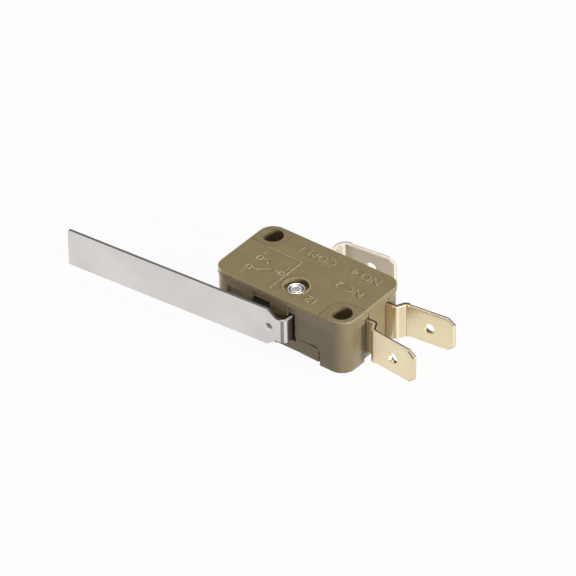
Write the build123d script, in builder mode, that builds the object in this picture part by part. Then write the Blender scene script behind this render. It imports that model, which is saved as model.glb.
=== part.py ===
from build123d import *
import os
from math import cos, radians, sin, tan

# Miniature snap-action door switch: a moulded case with two diagonal mounting holes, a long
# flat lever over a push plunger, three blade terminals and a coil-spring snap mechanism.
#
# Frame, in millimetres: the origin is on the axis of the mounting hole beside the terminals,
# at the plane of the back pads. +X points to the terminal end, +Y from the lever side to the
# common terminal's side, and +Z out of the cover.

os.makedirs("parts", exist_ok=True)

# Case: the cover's outline is the overall one, and the housing lies a lip inside it
CASE_LENGTH = 27.8
CASE_WIDTH = 15.9
CASE_THICKNESS = 10.3
CASE_CORNER_RADIUS = 2.8
COVER_THICKNESS = 1.0
COVER_LIP = 0.2
RIM_DEPTH = 0.6
RIM_WALL = 0.8
WALL = 1.3
BACK_WALL = 1.1
PAD_HEIGHT = 0.6
PAD_SIZE = 5.4
EDGE_ROUND = 0.25

# Mounting holes, as far from the case's ends as from its sides, on two opposite corners, with
# a drafted mouth at the cover side
HOLE_INSET = 2.8
HOLE_DIAMETER = 3.1
HOLE_MOUTH = 3.64
HOLE_MOUTH_DEPTH = 2.5
POST_REACH = 2.75
POST_ROUND = 2.4

# Clearances
SEAM_GAP = 0.08
SLOT_GAP = 0.1
SLIDE_GAP = 0.12
STOP_GAP = 0.15
TOUCH_GAP = 0.06

# Rivet that closes the case
RIVET_X = -10.4
RIVET_Y = 1.35
RIVET_SHANK = 2.0
RIVET_HEAD = 3.04
RIVET_HEAD_THICKNESS = 0.5
RIVET_SINK = 0.4
RIVET_RECESS = 4.3
RIVET_POST = 3.8
RIVET_BEAD = 0.28
RIVET_GROOVE = 0.24
RIVET_RIDGE = 0.22
BOSS_DEPTH = 0.9
BOSS_WALL = 0.45

# Blade terminals
BLADE_WIDTH = 6.3
BLADE_THICKNESS = 0.8
BLADE_BEVEL = 0.2
BLADE_TIP_LONG = 1.3
BLADE_TIP_WIDE = 1.0
BLADE_HOLE = 2.0
BLADE_HOLE_FROM_TIP = 4.65
LEAF_WIDTH = 5.0
LEAF_REACH = 4.9
TERMINAL_BEND = 0.7
END_BLADE_REACH = 11.6
JOG_OFFSET = 1.7
JOG_START = 1.55
JOG_RUN = 0.8
CLOSED_TERMINAL_Y = 3.3
OPEN_TERMINAL_Y = 8.8
CLOSED_SPLAY = -5.8
OPEN_SPLAY = 6.5
COMMON_X = -13.6
COMMON_STANDOFF = 5.05
COMMON_BEND = 1.5
COMMON_BLADE_REACH = 10.2
COMMON_SPLAY = 6.45
COMMON_END_Y = 5.0
FORK_SLOT = 2.7
FORK_DEPTH = 2.6
NOTCH_DEPTH = 0.25
NOTCH_HALF_HEIGHT = 0.3

# Contacts
CONTACT_X = -1.9
CONTACT_DIAMETER = 2.6
CONTACT_HEIGHT = 1.1
CONTACT_DOME = 0.3
CONTACT_SHANK = 1.4
MOVING_CONTACT_DIAMETER = 2.4
MOVING_CONTACT_HEIGHT = 0.55
CONTACT_REST_GAP = 0.05

# Contact blade
SPRING_BLADE_THICKNESS = 0.3
SPRING_BLADE_SLOT = 2.6
SPRING_BLADE_OVERHANG = 1.5
SPRING_BLADE_WEB = 0.3
KNIFE_ENTRY = 0.06

# Lever
LEVER_THICKNESS = 0.5
LEVER_WIDTH = 7.0
LEVER_NECK = 4.4
LEVER_REACH = 43.55
LEVER_TAIL_X = -8.45
LEVER_STANDOFF = 1.54
LEVER_LEAN = 3.54
LEVER_BEND = 0.75
LEVER_SHOULDER_AT = 3.4
LEVER_SHOULDER_LONG = 1.8
LEVER_DIMPLE = 1.6
LEVER_DIMPLE_AT = 3.05
LEVER_DIMPLE_HEIGHT = 0.22
LEVER_CORNER = 0.3
LEVER_SLOT = 1.5
LEVER_SLOT_MARGIN = 0.55
LEVER_HEAD = 6.0
LEVER_HEAD_LENGTH = 0.6

# Side pocket, the second seat for a lever, and the sunk panel under the neck
POCKET_LEFT = 2.9
POCKET_LENGTH = 3.4
POCKET_DEPTH = 0.6
PANEL_LENGTH = 9.0
PANEL_DEPTH = 0.2
PANEL_HEIGHT = 3.0
PANEL_ROUND = 1.2

# Plunger
PLUNGER_X = -14.6
PLUNGER_LENGTH = 3.2
PLUNGER_WIDTH = 5.8
PLUNGER_ROUND = 0.6
PLUNGER_CROWN = 0.35
FLANGE_EXTRA = 0.5
FLANGE_EXTRA_Z = 0.2
FLANGE_THICKNESS = 0.8
FOOT_LENGTH = 1.2
FOOT_WIDTH = 3.0
FOOT_HEIGHT = 0.7

# Actuator arm
ARM_THICKNESS = 0.4
ARM_WIDTH = 4.4
ARM_BEND = 0.5
ARM_END_GAP = 0.35
TAB_X = -12.75
TAB_WIDTH = 2.0
TAB_WEB = 0.3
TAB_HOLE = 0.7
TAB_HOLE_DROP = 0.6
SEAT_LENGTH = 1.2
SEAT_WALL = 0.6

# Coil spring
WIRE = 0.24
COIL_RADIUS = 0.7
COIL_TURNS = 9
COIL_END_GAP = 0.5
HOOK_RADIUS = 0.45

# Moulded lines on the cover
LINE_WIDTH = 0.25
LINE_HEIGHT = 0.1
BORDER_LEFT = 4.0
BORDER_CORNER_X = 11.35
BORDER_Y = 9.9
BORDER_NEAR = 1.0

# Places that follow from the driving sizes
case_right = HOLE_INSET
case_left = case_right - CASE_LENGTH
case_near = -HOLE_INSET
case_far = case_near + CASE_WIDTH
case_mid_x = (case_left + case_right) / 2
case_mid_y = (case_near + case_far) / 2
housing_near = case_near + COVER_LIP
housing_far = case_far - COVER_LIP
housing_right = case_right - COVER_LIP
cavity_near = housing_near + WALL
cavity_far = housing_far - WALL
cavity_left = case_left + COVER_LIP + WALL
cavity_right = housing_right - WALL
back_z = PAD_HEIGHT
floor_z = back_z + BACK_WALL
seam_z = CASE_THICKNESS - COVER_THICKNESS
mid_z = CASE_THICKNESS / 2
cavity_depth = seam_z - floor_z

near_hole = (0, 0)
far_hole = (case_left + HOLE_INSET, case_far - HOLE_INSET)
mounting_corners = [(near_hole, 1, -1), (far_hole, -1, 1)]

boss_z = seam_z - BOSS_DEPTH
rivet_top_z = CASE_THICKNESS - RIVET_SINK
rivet_seat_z = rivet_top_z - RIVET_HEAD_THICKNESS

leaf_end_x = cavity_right - LEAF_REACH
closed_face_y = CLOSED_TERMINAL_Y + BLADE_THICKNESS / 2
open_face_y = OPEN_TERMINAL_Y - BLADE_THICKNESS / 2
blade_y = (
    closed_face_y + CONTACT_HEIGHT + CONTACT_REST_GAP + MOVING_CONTACT_HEIGHT + SPRING_BLADE_THICKNESS / 2
)
common_right_x = COMMON_X + BLADE_THICKNESS / 2
common_corner_y = case_far + COMMON_STANDOFF

lever_tail_low_y = case_near - LEVER_STANDOFF
lever_slope = tan(radians(LEVER_LEAN))
lever_tip_x = LEVER_TAIL_X - LEVER_REACH
lever_tip_y = lever_tail_low_y - LEVER_REACH * lever_slope
lever_under_plunger_y = (
    lever_tail_low_y
    + (PLUNGER_X - LEVER_TAIL_X) * lever_slope
    + LEVER_THICKNESS / 2 / cos(radians(LEVER_LEAN))
)
lever_head_y = cavity_near + STOP_GAP

plunger_nose_y = lever_under_plunger_y + TOUCH_GAP
flange_y = cavity_near + STOP_GAP
foot_end_y = flange_y + FLANGE_THICKNESS + FOOT_HEIGHT

arm_y = foot_end_y + TOUCH_GAP + ARM_THICKNESS / 2
arm_end_x = cavity_left + ARM_END_GAP
tab_end_y = blade_y - TOUCH_GAP
tab_hole_y = tab_end_y - TAB_HOLE_DROP
tab_web_y = (tab_end_y + tab_hole_y + TAB_HOLE / 2) / 2

slot_end_x = CONTACT_X - MOVING_CONTACT_DIAMETER / 2 - SPRING_BLADE_OVERHANG - SPRING_BLADE_WEB
web_x = slot_end_x + SPRING_BLADE_WEB / 2


def case_section(inset):
    """The case's rounded outline, drawn in by an inset."""
    with BuildSketch() as section:
        with Locations((case_mid_x, case_mid_y)):
            RectangleRounded(
                CASE_LENGTH - 2 * inset,
                CASE_WIDTH - 2 * inset,
                CASE_CORNER_RADIUS - inset,
            )
    return section.sketch


def post_section(corner, grow):
    """A mounting post's block, from its rounded inner corner out past the case's corner."""
    (hole_x, hole_y), side_x, side_y = corner
    reach = POST_REACH + grow
    span = 2 * POST_REACH + CASE_CORNER_RADIUS + grow
    inner = Vector(hole_x - side_x * reach, hole_y - side_y * reach)
    with BuildSketch() as section:
        with Locations((inner.X + side_x * span / 2, inner.Y + side_y * span / 2)):
            Rectangle(span, span)
        fillet(section.vertices().sort_by_distance(inner)[0], POST_ROUND + grow)
    return section.sketch


def cover_plate():
    """The cover's plate with its rounded upper edge, over the whole case."""
    with BuildPart() as plate:
        with BuildSketch(Plane.XY.offset(seam_z)):
            add(case_section(0))
        extrude(amount=COVER_THICKNESS)
        fillet(plate.edges().group_by(Axis.Z)[-1], EDGE_ROUND)
    return plate.part


def post_tops():
    """The posts' upper blocks, which carry the cover's outline and rounded edge round them."""
    with BuildPart() as tops:
        with BuildSketch(Plane.XY.offset(seam_z)):
            for corner in mounting_corners:
                add(post_section(corner, 0))
        extrude(amount=COVER_THICKNESS)
        add(cover_plate(), mode=Mode.INTERSECT)
    return tops.part


def wall_slots():
    """The openings in the housing's walls: centre, size in X and Y, lowest and highest Z."""
    blade_slot = BLADE_THICKNESS + 2 * SLOT_GAP
    blade_low = mid_z - BLADE_WIDTH / 2 - SLOT_GAP
    blade_high = mid_z + BLADE_WIDTH / 2 + SLOT_GAP
    end_x = housing_right - WALL / 2
    near_y = housing_near + WALL / 2
    far_y = housing_far - WALL / 2
    neck_half = LEVER_NECK / 2 + LEVER_SLOT_MARGIN
    plunger_half = PLUNGER_WIDTH / 2 + SLIDE_GAP
    return [
        (end_x, CLOSED_TERMINAL_Y, WALL, blade_slot, blade_low, blade_high),
        (end_x, OPEN_TERMINAL_Y, WALL, blade_slot, blade_low, blade_high),
        (COMMON_X, far_y, blade_slot, WALL, blade_low, blade_high),
        (LEVER_TAIL_X, near_y, LEVER_SLOT, WALL, mid_z - neck_half, mid_z + neck_half),
        (PLUNGER_X, near_y, PLUNGER_LENGTH + 2 * SLIDE_GAP, WALL, mid_z - plunger_half, mid_z + plunger_half),
    ]


housing_outline = case_section(COVER_LIP)
cavity_outline = case_section(COVER_LIP + WALL)
near_plane = Plane(origin=(0, housing_near, 0), x_dir=(1, 0, 0), z_dir=(0, -1, 0))

# Base housing: a deep tray with two full-height mounting posts, four back pads, the rivet's
# post, and a grooved seat for the actuator arm on its left wall
with BuildPart() as base_housing:
    with BuildSketch(Plane.XY.offset(back_z)):
        add(housing_outline)
    extrude(amount=seam_z - back_z)
    with BuildSketch(Plane.XY.offset(floor_z)):
        add(cavity_outline)
        for corner in mounting_corners:
            add(post_section(corner, 0), mode=Mode.SUBTRACT)
        with Locations((RIVET_X, RIVET_Y)):
            Circle(RIVET_POST / 2, mode=Mode.SUBTRACT)
        with Locations((cavity_left + SEAT_LENGTH / 2, arm_y)):
            Rectangle(SEAT_LENGTH, ARM_THICKNESS + 2 * STOP_GAP + 2 * SEAT_WALL, mode=Mode.SUBTRACT)
        with Locations((cavity_left + SEAT_LENGTH / 2, arm_y)):
            Rectangle(SEAT_LENGTH, ARM_THICKNESS + 2 * STOP_GAP)
    extrude(amount=cavity_depth, mode=Mode.SUBTRACT)
    with BuildSketch(Plane.XY.offset(boss_z)):
        with Locations((RIVET_X, RIVET_Y)):
            Circle(RIVET_POST / 2)
        with Locations((cavity_left + SEAT_LENGTH / 2, arm_y)):
            Rectangle(SEAT_LENGTH, ARM_THICKNESS + 2 * STOP_GAP + 2 * SEAT_WALL)
    extrude(amount=BOSS_DEPTH, mode=Mode.SUBTRACT)
    # Post tops, flush in the cover's cut corners
    add(post_tops())
    # Back pads at the four corners
    with BuildSketch(Plane.XY):
        add(housing_outline)
        with Locations((case_mid_x, case_mid_y)):
            Rectangle(CASE_LENGTH - 2 * PAD_SIZE, CASE_WIDTH, mode=Mode.SUBTRACT)
            Rectangle(CASE_LENGTH, CASE_WIDTH - 2 * PAD_SIZE, mode=Mode.SUBTRACT)
    extrude(amount=PAD_HEIGHT)
    # Slots for the terminals, the lever's tail and the plunger, open towards the cover
    for slot_x, slot_y, size_x, size_y, low_z, high_z in wall_slots():
        with BuildSketch(Plane.XY.offset(low_z)):
            with Locations((slot_x, slot_y)):
                Rectangle(size_x, size_y)
        extrude(amount=seam_z - low_z, mode=Mode.SUBTRACT)
    # Second lever seat: a shallow pocket as tall as the lever's slot
    with BuildSketch(near_plane):
        with Locations((case_left + POCKET_LEFT + POCKET_LENGTH / 2, mid_z)):
            Rectangle(POCKET_LENGTH, LEVER_NECK + 2 * LEVER_SLOT_MARGIN)
    extrude(amount=-POCKET_DEPTH, mode=Mode.SUBTRACT)
    # Sunk panel with rounded upper corners, between the lever's slot and the terminal corner
    panel_right = case_right - PAD_SIZE
    with BuildSketch(near_plane) as panel:
        with Locations((panel_right - PANEL_LENGTH / 2, back_z + PANEL_HEIGHT / 2)):
            Rectangle(PANEL_LENGTH, PANEL_HEIGHT)
        fillet(panel.vertices().group_by(Axis.Y)[-1], PANEL_ROUND)
    extrude(amount=-PANEL_DEPTH, mode=Mode.SUBTRACT)
    # Mounting holes with their drafted mouths, and the rivet's stepped hole
    with BuildSketch(Plane.XY):
        with Locations(near_hole, far_hole):
            Circle(HOLE_DIAMETER / 2)
    extrude(amount=CASE_THICKNESS, mode=Mode.SUBTRACT)
    with Locations([(x, y, CASE_THICKNESS) for x, y in (near_hole, far_hole)]):
        Cone(
            HOLE_DIAMETER / 2,
            HOLE_MOUTH / 2,
            HOLE_MOUTH_DEPTH,
            align=(Align.CENTER, Align.CENTER, Align.MAX),
            mode=Mode.SUBTRACT,
        )
    with Locations((RIVET_X, RIVET_Y, boss_z)):
        Hole(RIVET_SHANK / 2)
    with BuildSketch(Plane.XY.offset(back_z)):
        with Locations((RIVET_X, RIVET_Y)):
            Circle(RIVET_HEAD / 2 + SLOT_GAP)
    extrude(amount=RIVET_HEAD_THICKNESS, mode=Mode.SUBTRACT)
base_housing.part.label = "base_housing"
export_step(base_housing.part, "parts/base_housing.step")

# Cover: a flat plate cut round the mounting posts, with a rim that drops into the tray,
# tongues that close the slots, and a boss behind the rivet's recess
with BuildPart() as cover:
    add(cover_plate())
    with BuildSketch(Plane.XY.offset(seam_z)):
        for corner in mounting_corners:
            add(post_section(corner, SEAM_GAP))
    extrude(amount=COVER_THICKNESS, mode=Mode.SUBTRACT)
    with BuildSketch(Plane.XY.offset(seam_z - RIM_DEPTH)):
        add(case_section(COVER_LIP + WALL + SLOT_GAP))
        add(case_section(COVER_LIP + WALL + SLOT_GAP + RIM_WALL), mode=Mode.SUBTRACT)
        for corner in mounting_corners:
            add(post_section(corner, SLOT_GAP), mode=Mode.SUBTRACT)
    extrude(amount=RIM_DEPTH)
    with BuildSketch(Plane.XY.offset(boss_z)):
        with Locations((RIVET_X, RIVET_Y)):
            Circle(RIVET_RECESS / 2 + BOSS_WALL)
    extrude(amount=BOSS_DEPTH)
    for slot_x, slot_y, size_x, size_y, low_z, high_z in wall_slots():
        with BuildSketch(Plane.XY.offset(high_z)):
            with Locations((slot_x, slot_y)):
                Rectangle(size_x - 2 * SEAM_GAP, size_y - 2 * SEAM_GAP)
        extrude(amount=seam_z - high_z)
    with BuildSketch(Plane.XY.offset(rivet_seat_z)):
        with Locations((RIVET_X, RIVET_Y)):
            Circle(RIVET_RECESS / 2)
    extrude(amount=CASE_THICKNESS - rivet_seat_z, mode=Mode.SUBTRACT)
    with BuildSketch(Plane.XY.offset(boss_z)):
        with Locations((RIVET_X, RIVET_Y)):
            Circle(RIVET_SHANK / 2)
    extrude(amount=CASE_THICKNESS - boss_z, mode=Mode.SUBTRACT)
    # Raised border line with one corner, and a raised ring round the recess
    with BuildSketch(Plane.XY.offset(CASE_THICKNESS)):
        with BuildLine():
            Polyline(
                (case_left + BORDER_LEFT, case_near + BORDER_Y),
                (case_left + BORDER_CORNER_X, case_near + BORDER_Y),
                (case_left + BORDER_CORNER_X, case_near + BORDER_NEAR),
            )
        trace(line_width=LINE_WIDTH)
        with Locations((RIVET_X, RIVET_Y)):
            Circle(RIVET_RECESS / 2 + LINE_WIDTH)
            Circle(RIVET_RECESS / 2, mode=Mode.SUBTRACT)
    extrude(amount=LINE_HEIGHT)
cover.part.label = "cover"
export_step(cover.part, "parts/cover.step")

# Case rivet: semi-tubular, with a rolled head in the cover's recess, ringed by a bead, a groove
# and a ridge round its flat middle, and a flat head behind
with BuildPart() as case_rivet:
    head_radius = RIVET_HEAD / 2
    groove_radius = head_radius - RIVET_BEAD
    ridge_radius = groove_radius - RIVET_GROOVE
    middle_radius = ridge_radius - RIVET_RIDGE
    rings_z = rivet_top_z - RIVET_BEAD / 2
    with BuildSketch(Plane.XZ.offset(-RIVET_Y)):
        with BuildLine():
            Polyline(
                (RIVET_X, back_z),
                (RIVET_X + head_radius, back_z),
                (RIVET_X + head_radius, back_z + RIVET_HEAD_THICKNESS),
                (RIVET_X + RIVET_SHANK / 2, back_z + RIVET_HEAD_THICKNESS),
                (RIVET_X + RIVET_SHANK / 2, rivet_seat_z),
                (RIVET_X + head_radius, rivet_seat_z),
                (RIVET_X + head_radius, rings_z),
            )
            ThreePointArc(
                (RIVET_X + head_radius, rings_z),
                (RIVET_X + head_radius - RIVET_BEAD / 2, rivet_top_z),
                (RIVET_X + groove_radius, rings_z),
            )
            ThreePointArc(
                (RIVET_X + groove_radius, rings_z),
                (RIVET_X + groove_radius - RIVET_GROOVE / 2, rings_z - RIVET_GROOVE / 2),
                (RIVET_X + ridge_radius, rings_z),
            )
            ThreePointArc(
                (RIVET_X + ridge_radius, rings_z),
                (RIVET_X + ridge_radius - RIVET_RIDGE / 2, rings_z + RIVET_RIDGE / 2),
                (RIVET_X + middle_radius, rings_z),
            )
            Polyline(
                (RIVET_X + middle_radius, rings_z),
                (RIVET_X, rings_z),
                (RIVET_X, back_z),
            )
        make_face()
    revolve(axis=Axis((RIVET_X, RIVET_Y, 0), (0, 0, 1)))
case_rivet.part.label = "case_rivet"
export_step(case_rivet.part, "parts/case_rivet.step")


def blade_plane(corner_x, corner_y, angle):
    """The middle plane of a blade that leaves a bend's corner at an angle from +X."""
    direction = radians(angle)
    return Plane(
        origin=(corner_x, corner_y, mid_z),
        x_dir=(cos(direction), sin(direction), 0),
        z_dir=(-sin(direction), cos(direction), 0),
    )


def blade_outline(plane, start, tip):
    """A quick-connect blade's outline with its latch hole, on the blade's middle plane."""
    half = BLADE_WIDTH / 2
    with BuildSketch(plane) as outline:
        with BuildLine():
            Polyline(
                (start, -half),
                (tip - BLADE_TIP_LONG, -half),
                (tip, -half + BLADE_TIP_WIDE),
                (tip, half - BLADE_TIP_WIDE),
                (tip - BLADE_TIP_LONG, half),
                (start, half),
                close=True,
            )
        make_face()
        with Locations((tip - BLADE_HOLE_FROM_TIP, 0)):
            Circle(BLADE_HOLE / 2, mode=Mode.SUBTRACT)
    return outline.sketch


def blade_rim(blade, plane, start):
    """The straight edges round a blade's two broad faces, apart from those at its root."""
    broad_faces = blade.faces().filter_by(Axis(plane.origin, plane.z_dir))
    return [
        edge
        for edge in broad_faces.edges().filter_by(GeomType.LINE)
        if plane.to_local_coords(edge.center()).X > start + BLADE_BEVEL
    ]


def end_terminal(name, stub_y, jog, splay):
    """A terminal that leaves the case's end: inner leaf, stub, jog and splayed blade."""
    jog_x = case_right + JOG_START
    corner_x = jog_x + JOG_RUN
    corner_y = stub_y + jog
    plane = blade_plane(corner_x, corner_y, splay)
    tip = (case_right + END_BLADE_REACH - corner_x) / cos(radians(splay))
    blade_root = plane.from_local_coords(Vector(TERMINAL_BEND, 0, 0))
    with BuildPart() as terminal:
        extrude(blade_outline(plane, TERMINAL_BEND, tip), amount=BLADE_THICKNESS / 2, both=True)
        chamfer(blade_rim(terminal, plane, TERMINAL_BEND), BLADE_BEVEL)
        with BuildSketch(Plane.XY.offset(mid_z - BLADE_WIDTH / 2)):
            with BuildLine():
                FilletPolyline(
                    (leaf_end_x, stub_y),
                    (jog_x, stub_y),
                    (corner_x, corner_y),
                    (blade_root.X, blade_root.Y),
                    radius=TERMINAL_BEND,
                )
            trace(line_width=BLADE_THICKNESS)
        extrude(amount=BLADE_WIDTH)
        # The leaf inside the case is narrower than the blade
        with BuildSketch(Plane.XZ.offset(-stub_y)):
            with Locations(((leaf_end_x + cavity_right) / 2, mid_z)):
                Rectangle(LEAF_REACH, 2 * BLADE_WIDTH)
                Rectangle(LEAF_REACH, LEAF_WIDTH, mode=Mode.SUBTRACT)
        extrude(amount=BLADE_THICKNESS, both=True, mode=Mode.SUBTRACT)
        with Locations(Plane(origin=(CONTACT_X, stub_y, mid_z), z_dir=(0, 1, 0))):
            Hole(CONTACT_SHANK / 2, depth=BLADE_THICKNESS)
    terminal.part.label = name
    export_step(terminal.part, f"parts/{name}.step")


end_terminal("normally_closed_terminal", CLOSED_TERMINAL_Y, -JOG_OFFSET, CLOSED_SPLAY)
end_terminal("normally_open_terminal", OPEN_TERMINAL_Y, JOG_OFFSET, OPEN_SPLAY)

# Common terminal: its leaf stands across the case, forked to carry the contact blade on two
# notched tines; outside it bends round and runs along the case's far side
common_plane = blade_plane(COMMON_X, common_corner_y, COMMON_SPLAY)
common_tip = COMMON_BLADE_REACH / cos(radians(COMMON_SPLAY))
common_start = COMMON_BEND
common_root = common_plane.from_local_coords(Vector(common_start, 0, 0))
with BuildPart() as common_terminal:
    extrude(blade_outline(common_plane, common_start, common_tip), amount=BLADE_THICKNESS / 2, both=True)
    chamfer(blade_rim(common_terminal, common_plane, common_start), BLADE_BEVEL)
    with BuildSketch(Plane.XY.offset(mid_z - BLADE_WIDTH / 2)):
        with BuildLine():
            FilletPolyline(
                (COMMON_X, COMMON_END_Y),
                (COMMON_X, common_corner_y),
                (common_root.X, common_root.Y),
                radius=COMMON_BEND,
            )
        trace(line_width=BLADE_THICKNESS)
    extrude(amount=BLADE_WIDTH)
    leaf_length = cavity_far - COMMON_END_Y
    with BuildSketch(Plane.YZ.offset(COMMON_X)):
        with Locations((COMMON_END_Y + leaf_length / 2, mid_z)):
            Rectangle(leaf_length, 2 * BLADE_WIDTH)
            Rectangle(leaf_length, LEAF_WIDTH, mode=Mode.SUBTRACT)
        with Locations((COMMON_END_Y + FORK_DEPTH / 2, mid_z)):
            Rectangle(FORK_DEPTH, FORK_SLOT)
    extrude(amount=BLADE_THICKNESS, both=True, mode=Mode.SUBTRACT)
    with BuildSketch(Plane.XY.offset(mid_z - BLADE_WIDTH / 2)):
        with BuildLine():
            Polyline(
                (common_right_x, blade_y - NOTCH_HALF_HEIGHT),
                (common_right_x - NOTCH_DEPTH, blade_y),
                (common_right_x, blade_y + NOTCH_HALF_HEIGHT),
                close=True,
            )
        make_face()
    extrude(amount=BLADE_WIDTH, mode=Mode.SUBTRACT)
common_terminal.part.label = "common_terminal"
export_step(common_terminal.part, "parts/common_terminal.step")


def domed_head(plane, diameter, height, dome):
    """A round head that stands on a plane's origin and ends in a shallow dome."""
    dome_radius = ((diameter / 2) ** 2 + dome**2) / (2 * dome)
    with BuildPart(plane) as head:
        Cylinder(diameter / 2, height, align=(Align.CENTER, Align.CENTER, Align.MIN))
        with Locations((0, 0, height - dome_radius)):
            Sphere(dome_radius, mode=Mode.INTERSECT)
    return head.part


def contact_head(base_y, side, diameter, height):
    """A domed contact head that stands on a face at base_y and looks to one side."""
    seat = Plane(origin=(CONTACT_X, base_y, mid_z), z_dir=(0, side, 0))
    return domed_head(seat, diameter, height, CONTACT_DOME)



# Fixed contacts: rivets with a domed head towards the contact blade, shanks set in the leaves
fixed_contacts = [
    ("normally_closed_contact", CLOSED_TERMINAL_Y, 1),
    ("normally_open_contact", OPEN_TERMINAL_Y, -1),
]
for name, leaf_y, side in fixed_contacts:
    face_y = leaf_y + side * BLADE_THICKNESS / 2
    with BuildPart() as fixed_contact:
        add(contact_head(face_y, side, CONTACT_DIAMETER, CONTACT_HEIGHT))
        with BuildSketch(Plane(origin=(CONTACT_X, face_y, mid_z), z_dir=(0, -side, 0))):
            Circle(CONTACT_SHANK / 2)
        extrude(amount=BLADE_THICKNESS)
    fixed_contact.part.label = name
    export_step(fixed_contact.part, f"parts/{name}.step")

# Contact blade: a thin spring strip, forked at its knife-edge end, with a slot for the coil
# spring and a hole behind the web that the spring hooks over
blade_left_x = common_right_x - KNIFE_ENTRY
blade_right_x = CONTACT_X + MOVING_CONTACT_DIAMETER / 2 + SPRING_BLADE_WEB
web_hole_x = slot_end_x + SPRING_BLADE_WEB + TAB_HOLE / 2
with BuildPart() as contact_blade:
    with BuildSketch(Plane.XZ.offset(-blade_y)) as outline:
        with Locations(((blade_left_x + blade_right_x) / 2, mid_z)):
            Rectangle(blade_right_x - blade_left_x, LEAF_WIDTH)
        fillet(outline.vertices().group_by(Axis.X)[-1], LEAF_WIDTH / 4)
        with Locations(((blade_left_x + slot_end_x) / 2, mid_z)):
            Rectangle(slot_end_x - blade_left_x, SPRING_BLADE_SLOT, mode=Mode.SUBTRACT)
        with Locations((web_hole_x, mid_z)):
            Circle(TAB_HOLE / 2, mode=Mode.SUBTRACT)
        with Locations((CONTACT_X, mid_z)):
            Circle(CONTACT_SHANK / 2, mode=Mode.SUBTRACT)
    extrude(amount=SPRING_BLADE_THICKNESS / 2, both=True)
contact_blade.part.label = "contact_blade"
export_step(contact_blade.part, "parts/contact_blade.step")

# Moving contact: one rivet with a domed head on each side of the contact blade
with BuildPart() as moving_contact:
    for side in (-1, 1):
        head_y = blade_y + side * SPRING_BLADE_THICKNESS / 2
        add(contact_head(head_y, side, MOVING_CONTACT_DIAMETER, MOVING_CONTACT_HEIGHT))
    with BuildSketch(Plane.XZ.offset(-blade_y)):
        with Locations((CONTACT_X, mid_z)):
            Circle(CONTACT_SHANK / 2)
    extrude(amount=SPRING_BLADE_THICKNESS / 2, both=True)
moving_contact.part.label = "moving_contact"
export_step(moving_contact.part, "parts/moving_contact.step")

# Lever: one folded strip, wide and flat outside, narrowed at its neck, turned into the case
# and widened again behind the wall to hold it
lever_plane = Plane(
    origin=(LEVER_TAIL_X, lever_tail_low_y, mid_z),
    x_dir=(-cos(radians(LEVER_LEAN)), -sin(radians(LEVER_LEAN)), 0),
    z_dir=(sin(radians(LEVER_LEAN)), -cos(radians(LEVER_LEAN)), 0),
)
lever_length = LEVER_REACH / cos(radians(LEVER_LEAN))
shoulder_end = LEVER_SHOULDER_AT - LEVER_SHOULDER_LONG
lever_head_end_y = lever_head_y + LEVER_HEAD_LENGTH
with BuildPart() as lever:
    with BuildSketch(lever_plane) as flat:
        with BuildLine():
            Polyline(
                (LEVER_BEND, -LEVER_NECK / 2),
                (shoulder_end, -LEVER_NECK / 2),
                (LEVER_SHOULDER_AT, -LEVER_WIDTH / 2),
                (lever_length, -LEVER_WIDTH / 2),
                (lever_length, LEVER_WIDTH / 2),
                (LEVER_SHOULDER_AT, LEVER_WIDTH / 2),
                (shoulder_end, LEVER_NECK / 2),
                (LEVER_BEND, LEVER_NECK / 2),
                close=True,
            )
        make_face()
    extrude(amount=LEVER_THICKNESS / 2, both=True)
    tip_corners = lever.edges().filter_by(Axis(lever_plane.origin, lever_plane.z_dir)).sort_by(Axis.X)[:2]
    fillet(tip_corners, LEVER_CORNER)
    neck_root = lever_plane.from_local_coords(Vector(LEVER_BEND, 0, 0))
    with BuildSketch(Plane.XY.offset(mid_z - LEVER_NECK / 2)):
        with BuildLine():
            FilletPolyline(
                (neck_root.X, neck_root.Y),
                (LEVER_TAIL_X, lever_tail_low_y),
                (LEVER_TAIL_X, lever_head_end_y),
                radius=LEVER_BEND,
            )
        trace(line_width=LEVER_THICKNESS)
    extrude(amount=LEVER_NECK)
    with BuildSketch(Plane.YZ.offset(LEVER_TAIL_X)):
        with Locations(((lever_head_y + lever_head_end_y) / 2, mid_z)):
            Rectangle(LEVER_HEAD_LENGTH, LEVER_HEAD)
    extrude(amount=LEVER_THICKNESS / 2, both=True)
    # Pressed dimple: a low dome outside, hollow behind
    for level, mode in ((0, Mode.ADD), (-LEVER_THICKNESS, Mode.SUBTRACT)):
        dimple_plane = Plane(
            origin=lever_plane.from_local_coords(Vector(LEVER_DIMPLE_AT, 0, level)),
            x_dir=lever_plane.x_dir,
            z_dir=lever_plane.z_dir,
        )
        dimple_reach = LEVER_THICKNESS / 2 + LEVER_DIMPLE_HEIGHT
        add(domed_head(dimple_plane, LEVER_DIMPLE, dimple_reach, LEVER_DIMPLE_HEIGHT), mode=mode)
lever.part.label = "lever"
export_step(lever.part, "parts/lever.step")

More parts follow.
